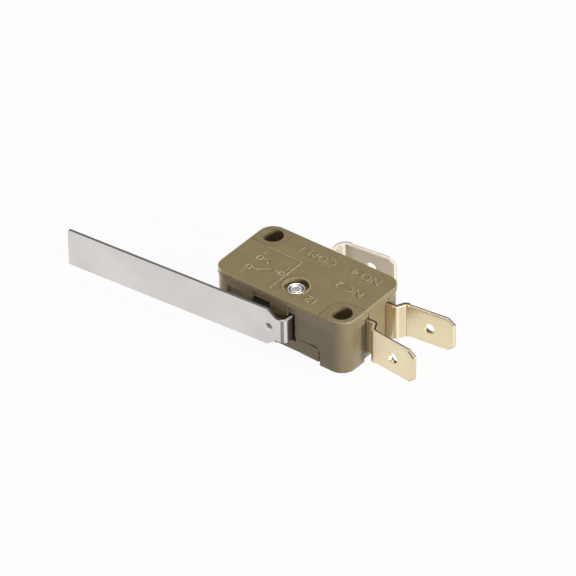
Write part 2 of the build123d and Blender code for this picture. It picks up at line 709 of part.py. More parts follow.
# Plunger: a crowned block that slides in the near wall, with a flange that stops it inside
# and a foot that presses the actuator arm
with BuildPart() as plunger:
    with BuildSketch(Plane.XZ.offset(-flange_y)) as body:
        with Locations((PLUNGER_X, mid_z)):
            Rectangle(PLUNGER_LENGTH, PLUNGER_WIDTH)
        fillet(body.vertices(), PLUNGER_ROUND)
    extrude(amount=flange_y - plunger_nose_y)
    crown_half = PLUNGER_LENGTH / 2 + PLUNGER_ROUND
    with BuildSketch(Plane.XY.offset(mid_z)):
        with BuildLine():
            ThreePointArc(
                (PLUNGER_X - crown_half, plunger_nose_y + PLUNGER_CROWN),
                (PLUNGER_X, plunger_nose_y),
                (PLUNGER_X + crown_half, plunger_nose_y + PLUNGER_CROWN),
            )
            Polyline(
                (PLUNGER_X + crown_half, plunger_nose_y + PLUNGER_CROWN),
                (PLUNGER_X + crown_half, plunger_nose_y - PLUNGER_CROWN),
                (PLUNGER_X - crown_half, plunger_nose_y - PLUNGER_CROWN),
                (PLUNGER_X - crown_half, plunger_nose_y + PLUNGER_CROWN),
            )
        make_face()
    extrude(amount=PLUNGER_WIDTH, both=True, mode=Mode.SUBTRACT)
    with BuildSketch(Plane.XZ.offset(-flange_y)):
        with Locations((PLUNGER_X, mid_z)):
            Rectangle(PLUNGER_LENGTH + 2 * FLANGE_EXTRA, PLUNGER_WIDTH + 2 * FLANGE_EXTRA_Z)
    extrude(amount=-FLANGE_THICKNESS)
    with BuildSketch(Plane.XZ.offset(-flange_y - FLANGE_THICKNESS)):
        with Locations((PLUNGER_X, mid_z)):
            Rectangle(FOOT_LENGTH, FOOT_WIDTH)
    extrude(amount=-FOOT_HEIGHT)
plunger.part.label = "plunger"
export_step(plunger.part, "parts/plunger.step")

# Actuator arm: seated in the left wall's groove, under the plunger's foot, with a tab that
# rises between the contact blade's tines and holds the coil spring
with BuildPart() as actuator_arm:
    with BuildSketch(Plane.XY.offset(mid_z - ARM_WIDTH / 2)):
        with BuildLine():
            FilletPolyline((arm_end_x, arm_y), (TAB_X, arm_y), (TAB_X, tab_end_y), radius=ARM_BEND)
        trace(line_width=ARM_THICKNESS)
    extrude(amount=ARM_WIDTH)
    tab_start_y = arm_y + ARM_BEND + ARM_THICKNESS / 2
    with BuildSketch(Plane.YZ.offset(TAB_X)):
        with Locations(((tab_start_y + tab_end_y) / 2, mid_z)):
            Rectangle(tab_end_y - tab_start_y, 2 * ARM_WIDTH)
            Rectangle(tab_end_y - tab_start_y, TAB_WIDTH, mode=Mode.SUBTRACT)
        with Locations((tab_hole_y, mid_z)):
            Circle(TAB_HOLE / 2)
    extrude(amount=ARM_THICKNESS, both=True, mode=Mode.SUBTRACT)
actuator_arm.part.label = "actuator_arm"
export_step(actuator_arm.part, "parts/actuator_arm.step")

# Coil spring: a helix between two hooks, one round the arm's tab and one over the blade's web
hook_left = Vector(TAB_X, tab_web_y, mid_z)
hook_right = Vector(web_x, blade_y, mid_z)
pull = (hook_right - hook_left).normalized()
coil_start = hook_left + pull * (HOOK_RADIUS + COIL_END_GAP)
coil_end = hook_right - pull * (HOOK_RADIUS + COIL_END_GAP)
coil_length = (coil_end - coil_start).length
with BuildPart() as coil_spring:
    with BuildLine() as coil:
        Helix(coil_length / COIL_TURNS, coil_length, COIL_RADIUS, center=coil_start, direction=pull)
    with BuildSketch(Plane(origin=coil.edge() @ 0, z_dir=coil.edge() % 0)):
        Circle(WIRE / 2)
    sweep(path=coil.edge(), is_frenet=True)
    for hook, side, coil_point in ((hook_left, 1, coil.edge() @ 0), (hook_right, -1, coil.edge() @ 1)):
        hook_entry = hook + pull * (side * HOOK_RADIUS)
        hook_end = hook - pull * (side * HOOK_RADIUS)
        with BuildLine() as lead:
            Line(coil_point, hook_entry)
        with BuildSketch(Plane(origin=coil_point, z_dir=lead.edge() % 0)):
            Circle(WIRE / 2)
        sweep(path=lead.edge())
        with Locations(coil_point, hook_entry):
            Sphere(WIRE / 2)
        with BuildLine() as bow:
            ThreePointArc(hook_entry, hook - Vector(0, HOOK_RADIUS, 0), hook_end)
        with BuildSketch(Plane(origin=hook_entry, z_dir=bow.edge() % 0)):
            Circle(WIRE / 2)
        sweep(path=bow.edge())
coil_spring.part.label = "coil_spring"
export_step(coil_spring.part, "parts/coil_spring.step")
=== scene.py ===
# %% [markdown]
# # A door switch with a long lever
#
# This is the small snap-action switch that tells a machine whether its door is shut: a moulded
# case as big as two sugar cubes, a long steel lever, and three blade terminals. The solids come
# from the CAD frame and stay exactly as they are. What this lesson adds is the look: the
# moulded plastic, the rolled steel, the plated brass, the raised marks on the cover, the flap in
# the near wall, the light and the camera.

from math import cos, pi, radians, sin

import bpy
from mathutils import Matrix, Vector


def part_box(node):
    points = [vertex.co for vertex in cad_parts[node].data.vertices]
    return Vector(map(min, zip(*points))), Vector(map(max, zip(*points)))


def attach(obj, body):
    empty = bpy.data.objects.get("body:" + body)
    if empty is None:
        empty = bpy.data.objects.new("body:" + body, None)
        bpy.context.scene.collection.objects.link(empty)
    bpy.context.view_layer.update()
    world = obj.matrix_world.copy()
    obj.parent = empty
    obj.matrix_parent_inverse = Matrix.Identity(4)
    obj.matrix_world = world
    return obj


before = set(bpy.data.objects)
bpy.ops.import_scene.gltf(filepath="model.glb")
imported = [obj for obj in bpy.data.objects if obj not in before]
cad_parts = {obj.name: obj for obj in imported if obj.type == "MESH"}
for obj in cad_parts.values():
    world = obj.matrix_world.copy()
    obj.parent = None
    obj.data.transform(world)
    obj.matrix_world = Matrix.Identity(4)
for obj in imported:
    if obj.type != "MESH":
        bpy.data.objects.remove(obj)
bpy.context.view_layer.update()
MM = 0.001
print("nodes:", sorted(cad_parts))

# %% [markdown]
# ## Colours and nodes
#
# A colour picker shows sRGB values, but the shader works in linear light, so every colour here
# is written as an sRGB hex value and turned to linear by one function. A second small function
# adds a shader node, sets it and wires it up, so that each material reads as a short recipe.
# Patterns are sized in millimetres: a noise's scale counts its blotches in one metre.

# %% Colour and node helpers
def srgb(hex_code):
    """An sRGB hex colour as linear red, green, blue and alpha, by the standard's own curve."""
    values = [int(hex_code[i:i + 2], 16) / 255 for i in (1, 3, 5)]
    linear = [v / 12.92 if v <= 0.04045 else ((v + 0.055) / 1.055) ** 2.4 for v in values]
    return (*linear, 1.0)


def per_metre(size_mm):
    """The texture scale that draws one blotch, grain or line every size_mm millimetres."""
    return 1 / (size_mm * MM)


def add_node(owner, kind, inputs=None, **settings):
    """Adds a node to a material or world: settings are its options, inputs values or sockets."""
    made = owner.node_tree.nodes.new(kind)
    for option, value in settings.items():
        setattr(made, option, value)
    for socket, value in (inputs or {}).items():
        if isinstance(value, bpy.types.NodeSocket):
            owner.node_tree.links.new(value, made.inputs[socket])
        else:
            made.inputs[socket].default_value = value
    return made


def new_material(name):
    """An empty node material and its shader, already wired to the output."""
    material = bpy.data.materials.new(name)
    material.use_nodes = True
    shader = material.node_tree.nodes["Principled BSDF"]
    return material, shader


def wire(owner, socket_from, socket_to):
    """Links two sockets of a material or world."""
    owner.node_tree.links.new(socket_from, socket_to)


print("phenolic olive in linear light:", [round(v, 3) for v in srgb("#80714C")])

# %% [markdown]
# ## The camera
#
# The view is a telephoto look down on the cover from the terminal end. Azimuth, elevation,
# roll, distance and the focal length in pixels were found by fitting a pinhole camera to the
# standard case size. The lens in millimetres follows from them and the picture's width of 576
# pixels. Building the camera's three axes by hand from those angles is surer here than tracking
# a target, because the aim point sits a little off the picture's middle and the horizon is
# rolled by less than a degree.

# %% Camera
PICTURE_WIDTH = 576
SENSOR_WIDTH = 36
FOCAL_PIXELS = 5070.5
VIEW_AZIMUTH = radians(38.286)
VIEW_ELEVATION = radians(36.421)
VIEW_ROLL = radians(-0.794)
VIEW_DISTANCE = 834.87 * MM
AIM_PIXEL = (307.4, 299.02)

housing_low, housing_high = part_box("base_housing")
case_middle = (housing_low + housing_high) / 2


def away_from_case(azimuth, elevation):
    """The direction from the case to an azimuth and an elevation in radians."""
    return Vector((
        sin(azimuth) * cos(elevation),
        -cos(azimuth) * cos(elevation),
        sin(elevation),
    ))


def fitted_camera():
    """The camera at the fitted place, with the case's middle seen at the aim pixel."""
    back = away_from_case(VIEW_AZIMUTH, VIEW_ELEVATION)
    level_right = (-back).cross(Vector((0, 0, 1))).normalized()
    level_up = level_right.cross(-back)
    right = level_right * cos(VIEW_ROLL) + level_up * sin(VIEW_ROLL)
    up = level_up * cos(VIEW_ROLL) - level_right * sin(VIEW_ROLL)
    aim_x = (AIM_PIXEL[0] - PICTURE_WIDTH / 2) / FOCAL_PIXELS
    aim_y = (PICTURE_WIDTH / 2 - AIM_PIXEL[1]) / FOCAL_PIXELS
    sight = -back + right * aim_x + up * aim_y
    place = case_middle - sight * VIEW_DISTANCE
    turn = Matrix((right, up, back)).transposed().to_4x4()
    bpy.ops.object.camera_add()
    camera = bpy.context.object
    camera.name = "camera"
    camera.data.sensor_width = SENSOR_WIDTH
    camera.data.lens = FOCAL_PIXELS * SENSOR_WIDTH / PICTURE_WIDTH
    camera.matrix_world = Matrix.Translation(place) @ turn
    return camera


camera = fitted_camera()
bpy.context.scene.camera = camera
print("lens", round(camera.data.lens, 1), "mm, camera at", [round(v, 4) for v in camera.location])

# %% [markdown]
# ## The white tent and its dark cards
#
# A product like this is lit in a white tent, with two dark cards that only reflections see.
# One stands opposite the camera: the cover's top and every upward edge mirror it, so the olive
# stays deep and the metal's cut edges draw thin dark lines. The other stands in front of the
# lever and darkens the upper half of every bulge in the steel, while flat upright faces mirror
# the white sheet below them. Real cards would also shade the object. Drawn in the world's
# nodes, where a Light Path tells glossy rays from the rest, they change nothing but the gloss.

# %% Tent and cards
WHITE = (1, 1, 1, 1)
WORLD_FILL = 0.1
BACK_CARD = {"azimuth": 218.3, "elevation": 38, "grey": 0.35, "rim": 0.76, "core": 0.92}
FRONT_CARD = {"azimuth": -8, "elevation": 26, "grey": 0.03, "rim": 0.88, "core": 0.96}


def dark_card(world, place, card):
    """A value of 1 in the open and the card's grey round its direction."""
    towards = away_from_case(radians(card["azimuth"]), radians(card["elevation"]))
    nearness = add_node(
        world,
        "ShaderNodeVectorMath",
        {0: place.outputs["Generated"], 1: towards},
        operation="DOT_PRODUCT",
    )
    shade = add_node(world, "ShaderNodeMapRange", {
        "Value": nearness.outputs["Value"],
        "From Min": card["rim"],
        "From Max": card["core"],
        "To Min": 1.0,
        "To Max": card["grey"],
    })
    return shade.outputs[0]


def studio_world():
    """A world that is white in view, white with dark cards in reflections, and an even fill."""
    world = bpy.data.worlds.new("studio")
    world.use_nodes = True
    bpy.context.scene.world = world
    background = world.node_tree.nodes["Background"]
    path = add_node(world, "ShaderNodeLightPath")
    place = add_node(world, "ShaderNodeTexCoord")
    mirrored = add_node(
        world,
        "ShaderNodeMath",
        {0: dark_card(world, place, BACK_CARD), 1: dark_card(world, place, FRONT_CARD)},
        operation="MULTIPLY",
    )
    lit = add_node(world, "ShaderNodeMix", {
        "Factor": path.outputs["Is Glossy Ray"],
        "A": WORLD_FILL,
        "B": mirrored.outputs[0],
    })
    strength = add_node(world, "ShaderNodeMix", {
        "Factor": path.outputs["Is Camera Ray"],
        "A": lit.outputs[0],
        "B": 1.0,
    })
    wire(world, strength.outputs[0], background.inputs["Strength"])
    background.inputs["Color"].default_value = WHITE


studio_world()
print("fill", WORLD_FILL, "card greys", BACK_CARD["grey"], FRONT_CARD["grey"])

# %% [markdown]
# ## The floor sheet
#
# The floor is a plain sheet. To the camera and in reflections it shows almost white, yet it
# keeps a soft shadow, and it throws the light of a mid grey back up, as a tent does whose floor
# is partly in shade. One white sheet can't do both, and a brighter lamp would wash out the
# object, so a Light Path gives the sheet one colour to be seen and another to bounce light.

# %% Floor sheet
FLOOR_SIZE = 3.0
FLOOR_GAP_MM = 0.02
SHEET_ROUGHNESS = 0.8
SHEET_SEEN = "#F0F0EE"
SHEET_BOUNCE = "#A4A4A2"
SHEET_GLOW = 0.94


def white_sheet():
    """A matt sheet that glows almost white where it is looked at and bounces a mid grey."""
    material, shader = new_material("white_sheet")
    shader.inputs["Roughness"].default_value = SHEET_ROUGHNESS
    path = add_node(material, "ShaderNodeLightPath")
    glow = add_node(material, "ShaderNodeEmission", {"Color": WHITE, "Strength": 1.0})
    seen = add_node(
        material,
        "ShaderNodeMath",
        {0: path.outputs["Is Camera Ray"], 1: path.outputs["Is Glossy Ray"]},
        operation="MAXIMUM",
    )
    sheet = add_node(
        material,
        "ShaderNodeMix",
        {"Factor": seen.outputs[0], 6: srgb(SHEET_BOUNCE), 7: srgb(SHEET_SEEN)},
        data_type="RGBA",
    )
    wire(material, sheet.outputs[2], shader.inputs["Base Color"])
    share = add_node(
        material,
        "ShaderNodeMath",
        {0: seen.outputs[0], 1: SHEET_GLOW},
        operation="MULTIPLY",
    )
    mix = add_node(material, "ShaderNodeMixShader", {
        0: share.outputs[0],
        1: shader.outputs[0],
        2: glow.outputs[0],
    })
    wire(material, mix.outputs[0], material.node_tree.nodes["Material Output"].inputs["Surface"])
    return material


def studio_floor():
    """A floor sheet just under the back pads."""
    bpy.ops.mesh.primitive_plane_add(size=FLOOR_SIZE, location=(0, 0, -FLOOR_GAP_MM * MM))
    floor = bpy.context.object
    floor.name = "floor"
    floor.data.materials.append(white_sheet())


studio_floor()
print("floor", FLOOR_SIZE, "m wide,", FLOOR_GAP_MM, "mm under the pads")

# %% [markdown]
# ## The lamps
#
# A large lamp over the case, a little behind it, lights the cover. Two low lamps beyond the
# terminal end light the blades and the end wall, and the stronger of them, a little in front,
# draws the highlight down the near corner. A faint one high up in front fills the shaded walls,
# and a small one beyond the left end rakes past the lever to the corner behind it. The rest of
# the near side stays in the lever's shade. All are square area lamps, because their shadows
# soften with the lamp's size, as those of a photographer's softbox do.

# %% Lamps
def softbox(name, azimuth, elevation, distance, size, power):
    """A square soft lamp that looks at the case from an azimuth and elevation in degrees."""
    away = away_from_case(radians(azimuth), radians(elevation))
    bpy.ops.object.light_add(type="AREA", location=case_middle + away * distance)
    lamp = bpy.context.object
    lamp.name = name
    lamp.data.size = size
    lamp.data.energy = power
    lamp.rotation_euler = away.to_track_quat("Z", "Y").to_euler()


softbox("top_softbox", azimuth=200, elevation=70, distance=0.7, size=0.4, power=1.85)
softbox("high_front_softbox", azimuth=58, elevation=56, distance=0.7, size=0.3, power=0.32)
softbox("right_softbox", azimuth=112, elevation=20, distance=0.6, size=0.16, power=1.15)
softbox("front_softbox", azimuth=79, elevation=15, distance=0.6, size=0.12, power=3.3)
softbox("left_softbox", azimuth=-82, elevation=3, distance=0.5, size=0.05, power=3.2)
bpy.context.scene.view_settings.view_transform = "Standard"

# %% [markdown]
# ## Moulded phenolic case
#
# The case is a thermoset moulding, the heat-proof olive-brown phenolic that switches are made
# of. It is pressed, not injected, so its skin is dense and satin, with a fine grit from the
# mould, a faint cloudiness from the filler, and rims that wear pale and also carry a painted
# highlight. A noise in millimetre sizes gives the cloud and the grit. The grit is drawn 0.22 mm
# wide, coarser than the real one, so that it shows. A rounded edge is where the skin leans,
# neither level nor upright, so the slope of the normal is the mask that lifts the colour there,
# and the height above the cover's face does the same for every raised line and mark. A Bevel
# node or paint could mark the rims too, but the slope costs nothing and follows the real
# roundings. The walls are painted a little greyer than the level faces, a painted sheen, and
# the same normal tells them apart.

# %% Where the phenolic is worn pale, where its rims get a painted highlight and where its walls get a painted grey sheen
UPRIGHT_UP_TO = 0.25
LEANING_FROM = 0.55
LEANING_UP_TO = 0.85
LEVEL_FROM = 0.98
# How far the rims move towards the pale colour: partly wear, partly a painted highlight.
RIM_RUB_AND_HIGHLIGHT = 0.42
RAISED_FROM_MM = 0.02
cover_top = housing_high.z


def leaning_skin(material, place):
    """A value of 0 on level and upright skin that rises to RIM_RUB_AND_HIGHLIGHT on an edge's
    rounding, for wear and a painted highlight.
    """
    normal = add_node(material, "ShaderNodeSeparateXYZ", {0: place.outputs["Normal"]})
    steep = add_node(material, "ShaderNodeMapRange", {
        "Value": normal.outputs["Z"],
        "From Min": UPRIGHT_UP_TO,
        "From Max": LEANING_FROM,
    })
    level = add_node(material, "ShaderNodeMapRange", {
        "Value": normal.outputs["Z"],
        "From Min": LEANING_UP_TO,
        "From Max": LEVEL_FROM,
        "To Min": 1.0,
        "To Max": 0.0,
    })
    leaning = add_node(
        material,
        "ShaderNodeMath",
        {0: steep.outputs[0], 1: level.outputs[0]},
        operation="MULTIPLY",
    )
    rub_and_highlight = add_node(
        material,
        "ShaderNodeMath",
        {0: leaning.outputs[0], 1: RIM_RUB_AND_HIGHLIGHT},
        operation="MULTIPLY",
    )
    return rub_and_highlight.outputs[0]


def upright_skin(material, place):
    """A value of 1 on the walls, which get a painted grey sheen, and 0 on level skin."""
    normal = add_node(material, "ShaderNodeSeparateXYZ", {0: place.outputs["Normal"]})
    upright = add_node(material, "ShaderNodeMapRange", {
        "Value": normal.outputs["Z"],
        "From Min": UPRIGHT_UP_TO,
        "From Max": LEANING_FROM,
        "To Min": 1.0,
        "To Max": 0.0,
    })
    return upright.outputs[0]


def raised_skin(material, place):
    """A value of 1 on all that stands above the cover's face."""
    position = add_node(material, "ShaderNodeSeparateXYZ", {0: place.outputs["Object"]})
    above = add_node(
        material,
        "ShaderNodeMath",
        {0: position.outputs["Z"], 1: cover_top + RAISED_FROM_MM * MM},
        operation="GREATER_THAN",
    )
    return above.outputs[0]


print("cover's face at", round(cover_top / MM, 2), "mm")

# %% Moulded phenolic
CLOUD_MM = 3.0
CLOUD_DETAIL = 4.0
CLOUD_SPREAD = (0.35, 0.65)
GRIT_MM = 0.22
GRIT_DETAIL = 3.0
GRIT_BUMP = 0.25
GRIT_DEPTH_MM = 0.02
PHENOLIC_IOR = 1.58
# The walls' greyer colour is a painted sheen.
WALL_SHEEN_GREY = "#7E7053"


def cloudy_tint(material, place, blotch_mm, detail, tints, spread):
    """A colour that drifts between two tints in soft blotches of a real size."""
    cloud = add_node(material, "ShaderNodeTexNoise", {
        "Vector": place.outputs["Object"],
        "Scale": per_metre(blotch_mm),
        "Detail": detail,
    })
    drift = add_node(material, "ShaderNodeValToRGB", {"Fac": cloud.outputs["Fac"]})
    for number in (0, 1):
        drift.color_ramp.elements[number].position = spread[number]
        drift.color_ramp.elements[number].color = srgb(tints[number])
    return drift.outputs["Color"]


def phenolic(name, plain, cloudy, rub_and_highlight, roughness):
    """Satin pressed phenolic: cloudy colour, fine mould grit, marks worn pale, rims worn pale
    with a painted highlight, walls with a painted grey sheen.
    """
    material, shader = new_material(name)
    place = add_node(material, "ShaderNodeTexCoord")
    tint = cloudy_tint(material, place, CLOUD_MM, CLOUD_DETAIL, (plain, cloudy), CLOUD_SPREAD)
    # The walls are mixed towards a painted grey sheen.
    walls = add_node(
        material,
        "ShaderNodeMix",
        {"Factor": upright_skin(material, place), 6: tint, 7: srgb(WALL_SHEEN_GREY)},
        data_type="RGBA",
    )
    # Rims get a pale colour that is partly wear and partly a painted highlight; raised marks are
    # worn pale.
    rub_and_highlight_mask = add_node(
        material,
        "ShaderNodeMath",
        {0: leaning_skin(material, place), 1: raised_skin(material, place)},
        operation="MAXIMUM",
    )
    colour = add_node(
        material,
        "ShaderNodeMix",
        {"Factor": rub_and_highlight_mask.outputs[0], 6: walls.outputs[2], 7: srgb(rub_and_highlight)},
        data_type="RGBA",
    )
    wire(material, colour.outputs[2], shader.inputs["Base Color"])
    grit = add_node(material, "ShaderNodeTexNoise", {
        "Vector": place.outputs["Object"],
        "Scale": per_metre(GRIT_MM),
        "Detail": GRIT_DETAIL,
    })
    bump = add_node(material, "ShaderNodeBump", {
        "Height": grit.outputs["Fac"],
        "Strength": GRIT_BUMP,
        "Distance": GRIT_DEPTH_MM * MM,
    })
    wire(material, bump.outputs["Normal"], shader.inputs["Normal"])
    shader.inputs["Roughness"].default_value = roughness
    shader.inputs["IOR"].default_value = PHENOLIC_IOR
    return material


housing_finish = phenolic(
    "pressed_phenolic_housing",
    plain="#80714C",
    cloudy="#867751",
    rub_and_highlight="#A29169",
    roughness=0.34,
)
cover_finish = phenolic(
    "pressed_phenolic_cover",
    plain="#817149",
    cloudy="#87774E",
    rub_and_highlight="#A29167",
    roughness=0.42,
)
print("phenolic nodes:", len(cover_finish.node_tree.nodes))

# %% [markdown]
# ## Bends, cut edges and the dimple
#
# Sheet metal tells how it was worked. Along each tight bend the colour carries a painted
# reflection, duller and brighter bands that stand for what the curved skin mirrors. A blanked
# edge is bright where the punch went in and dark where the blank broke away, and that dark half
# is also a painted reflection of the dark card above. A pressed dimple gets painted shading,
# dark on its upper flank with a painted highlight on the other. Cutting these into the mesh
# would change the CAD solids, so masks place them in the colour instead. Every bend here is
# upright, so the sideways part of the normal says how far round it a point lies. A Bevel node
# gives a thin cut edge a rounded normal, and its lean across the strip tells the edge's two
# halves apart.

# %% Bands of a bend and flanks of a dimple
# The dimple's tones are painted shading: a dark upper flank and a painted highlight below.
DIMPLE_SHADED_SIDE = (0.4, 0.0, 1.0)
FLAT_FACE_AT = 0.5
DIMPLE_SHADE_BANDS = [(0.0, 1.3), (0.25, 1.3), (0.4, 1.0), (0.6, 1.0), (0.72, 0.35), (1.0, 0.3)]


def banded_tone(material, lean, bands):
    """A grey that follows a lean: bands are pairs of a lean and the tone that it has there."""
    ramp = add_node(material, "ShaderNodeValToRGB", {"Fac": lean})
    stops = ramp.color_ramp.elements
    for number, (place_on_ramp, tone) in enumerate(bands):
        if number < 2:
            stop = stops[number]
            stop.position = place_on_ramp
        else:
            stop = stops.new(place_on_ramp)
        stop.color = (tone, tone, tone, 1.0)
    return ramp.outputs["Color"]


def painted_bend_reflection(material, place, bands):
    """A painted reflection: a grey that changes round an upright bend with the sideways part of
    the normal.
    """
    normal = add_node(material, "ShaderNodeSeparateXYZ", {0: place.outputs["Normal"]})
    return banded_tone(material, normal.outputs["X"], bands)


def painted_dimple_shading(material, place):
    """Painted shading for the dimple: its upper right flank painted dark, the opposite one
    painted bright as a highlight.
    """
    slope = add_node(
        material,
        "ShaderNodeVectorMath",
        {0: place.outputs["Normal"], 1: DIMPLE_SHADED_SIDE},
        operation="DOT_PRODUCT",
    )
    centred = add_node(
        material,
        "ShaderNodeMath",
        {0: slope.outputs["Value"], 1: FLAT_FACE_AT},
        operation="ADD",
    )
    return banded_tone(material, centred.outputs[0], DIMPLE_SHADE_BANDS)


print("dimple bands:", len(DIMPLE_SHADE_BANDS))

# %% Cut edges
UPWARD = 0.6
FRACTURE_MM = 0.4
BEVEL_SAMPLES = 8


def upward_edge(material, place):
    """A value of 1 on faces that look up, which on an upright strip are its cut edges."""
    normal = add_node(material, "ShaderNodeSeparateXYZ", {0: place.outputs["Normal"]})
    upward = add_node(
        material,
        "ShaderNodeMath",
        {0: normal.outputs["Z"], 1: UPWARD},
        operation="GREATER_THAN",
    )
    return upward.outputs[0]


def fracture_and_dark_reflection_edge(material, place):
    """A value of 1 on the far half of an upward cut edge, painted dark both for the break and as
    a painted reflection of the dark card.
    """
    across = add_node(
        material,
        "ShaderNodeBevel",
        {"Radius": FRACTURE_MM * MM},
        samples=BEVEL_SAMPLES,
    )
    side = add_node(material, "ShaderNodeSeparateXYZ", {0: across.outputs["Normal"]})
    far = add_node(
        material,
        "ShaderNodeMath",
        {0: side.outputs["Y"], 1: 0.0},
        operation="GREATER_THAN",
    )
    dark_break_and_reflection = add_node(
        material,
        "ShaderNodeMath",
        {0: far.outputs[0], 1: upward_edge(material, place)},
        operation="MULTIPLY",
    )
    return dark_break_and_reflection.outputs[0]


print("a Bevel node looks", FRACTURE_MM, "mm across a cut edge")

# %% [markdown]
# ## Rolled stainless lever
#
# The lever is blanked from cold-rolled stainless strip. Rolling leaves a bright satin skin with
# hair-fine lines along the strip and broad, very faint tones across it. An anisotropic gloss
# could stand for the lines, but it shows no single line, so they are a noise stretched along
# the lever. They are drawn 0.12 mm apart, coarser than the real ones, so that they show at all.
# Where the strip turns into the case its colour carries a painted reflection, a dull grey band
# then a bright crest, and a painted white highlight on the rim above both. The cut edge is
# painted dark along the straight part, partly for the break and partly as a painted reflection.

# %% Colour of the lever's skin
STRIP_TONE_MM = 9.0
STRIP_DETAIL = 2.0
STRIP_SPREAD = (0.3, 0.7)
STEEL_TINTS = ("#CECAC9", "#DCD7D5")
# The dark half of the lever's cut edge: partly its rough break, partly a painted dark reflection.
FRACTURE_AND_REFLECTION_DARK_STEEL = "#8A8482"
BEND_LENGTH_MM = 1.0
# Tones round the lever's bend are a painted reflection: a dull grey band, a bright crest above 1,
# and a darker face into the slot.
LEVER_BEND_REFLECTION_BANDS = [
    (0.0, 1.0),
    (0.1, 0.97),
    (0.2, 0.4),
    (0.58, 0.42),
    (0.7, 1.1),
    (0.93, 1.1),
    (1.0, 0.5),
]
bend_begins_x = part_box("lever")[1].x - BEND_LENGTH_MM * MM


def beside_bend(material, place, side):
    """A value of 1 on one side of the plane where the lever's bend begins."""
    position = add_node(material, "ShaderNodeSeparateXYZ", {0: place.outputs["Object"]})
    beside = add_node(
        material,
        "ShaderNodeMath",
        {0: position.outputs["X"], 1: bend_begins_x},
        operation=side,
    )
    return beside.outputs[0]


def lever_skin(material, place):
    """The strip's colour, with the painted reflections of the bend and the dimple and the dark
    cut edge.
    """
    straight = beside_bend(material, place, "LESS_THAN")
    bent = beside_bend(material, place, "GREATER_THAN")
    tint = cloudy_tint(material, place, STRIP_TONE_MM, STRIP_DETAIL, STEEL_TINTS, STRIP_SPREAD)
    banded = add_node(
        material,
        "ShaderNodeMix",
        {"Factor": bent, 6: tint, 7: painted_bend_reflection(material, place, LEVER_BEND_REFLECTION_BANDS)},
        data_type="RGBA",
        blend_type="MULTIPLY",
    )
    # The dimple's painted shading is multiplied in here.
    pressed = add_node(
        material,
        "ShaderNodeMix",
        {"Factor": straight, 6: banded.outputs[2], 7: painted_dimple_shading(material, place)},
        data_type="RGBA",
        blend_type="MULTIPLY",
    )
    # The straight part's cut edge is painted dark, partly as a painted reflection.
    dark_break_and_reflection = add_node(
        material,
        "ShaderNodeMath",
        {0: straight, 1: fracture_and_dark_reflection_edge(material, place)},
        operation="MULTIPLY",
    )
    edged = add_node(
        material,
        "ShaderNodeMix",
        {"Factor": dark_break_and_reflection.outputs[0], 6: pressed.outputs[2], 7: srgb(FRACTURE_AND_REFLECTION_DARK_STEEL)},
        data_type="RGBA",
    )
    return edged.outputs[2]


print("the lever's bend begins at x =", round(bend_begins_x / MM, 2), "mm")

# %% Rolled stainless
ROLLING_LINE_MM = 0.12
LINE_STRETCH = (0.02, 1.0, 1.0)
LINE_DETAIL = 2.0
LINE_SPREAD = (0.3, 0.7)
LINE_SMOOTHER = 0.05
LINE_ROUGHER = 0.07
LINE_BUMP = 0.12
LINE_DEPTH_MM = 0.01
# The bend's upward rim is painted matt white, a painted highlight.
BEND_HIGHLIGHT_WHITE = "#F4F2F0"
BEND_HIGHLIGHT_METALLIC = 0.1


def painted_bend_highlight(material, place):
    """A value of 1 on the bend's upward edge, where a white highlight is painted."""
    rim = add_node(
        material,
        "ShaderNodeMath",
        {0: beside_bend(material, place, "GREATER_THAN"), 1: upward_edge(material, place)},
        operation="MULTIPLY",
    )
    return rim.outputs[0]


def rolled_stainless(name, roughness):
    """Cold-rolled stainless strip: lines along X and a painted white highlight on the rim over
    the bend.
    """
    material, shader = new_material(name)
    place = add_node(material, "ShaderNodeTexCoord")
    rim = painted_bend_highlight(material, place)
    rimmed = add_node(
        material,
        "ShaderNodeMix",
        {"Factor": rim, 6: lever_skin(material, place), 7: srgb(BEND_HIGHLIGHT_WHITE)},
        data_type="RGBA",
    )
    wire(material, rimmed.outputs[2], shader.inputs["Base Color"])
    # The painted highlight on the rim is made matt, so the lamps light its white colour.
    highlight_metallic = add_node(material, "ShaderNodeMapRange", {
        "Value": rim,
        "To Min": 1.0,
        "To Max": BEND_HIGHLIGHT_METALLIC,
    })
    wire(material, highlight_metallic.outputs[0], shader.inputs["Metallic"])
    along = add_node(material, "ShaderNodeMapping", {
        "Vector": place.outputs["Object"],
        "Scale": LINE_STRETCH,
    })
    lines = add_node(material, "ShaderNodeTexNoise", {
        "Vector": along.outputs[0],
        "Scale": per_metre(ROLLING_LINE_MM),
        "Detail": LINE_DETAIL,
    })
    streak = add_node(material, "ShaderNodeMapRange", {
        "Value": lines.outputs["Fac"],
        "From Min": LINE_SPREAD[0],
        "From Max": LINE_SPREAD[1],
        "To Min": roughness - LINE_SMOOTHER,
        "To Max": roughness + LINE_ROUGHER,
    })
    wire(material, streak.outputs[0], shader.inputs["Roughness"])
    bump = add_node(material, "ShaderNodeBump", {
        "Height": lines.outputs["Fac"],
        "Strength": LINE_BUMP,
        "Distance": LINE_DEPTH_MM * MM,
    })
    wire(material, bump.outputs["Normal"], shader.inputs["Normal"])
    return material


lever_finish = rolled_stainless("rolled_stainless_lever", roughness=0.34)
print("stainless nodes:", len(lever_finish.node_tree.nodes))

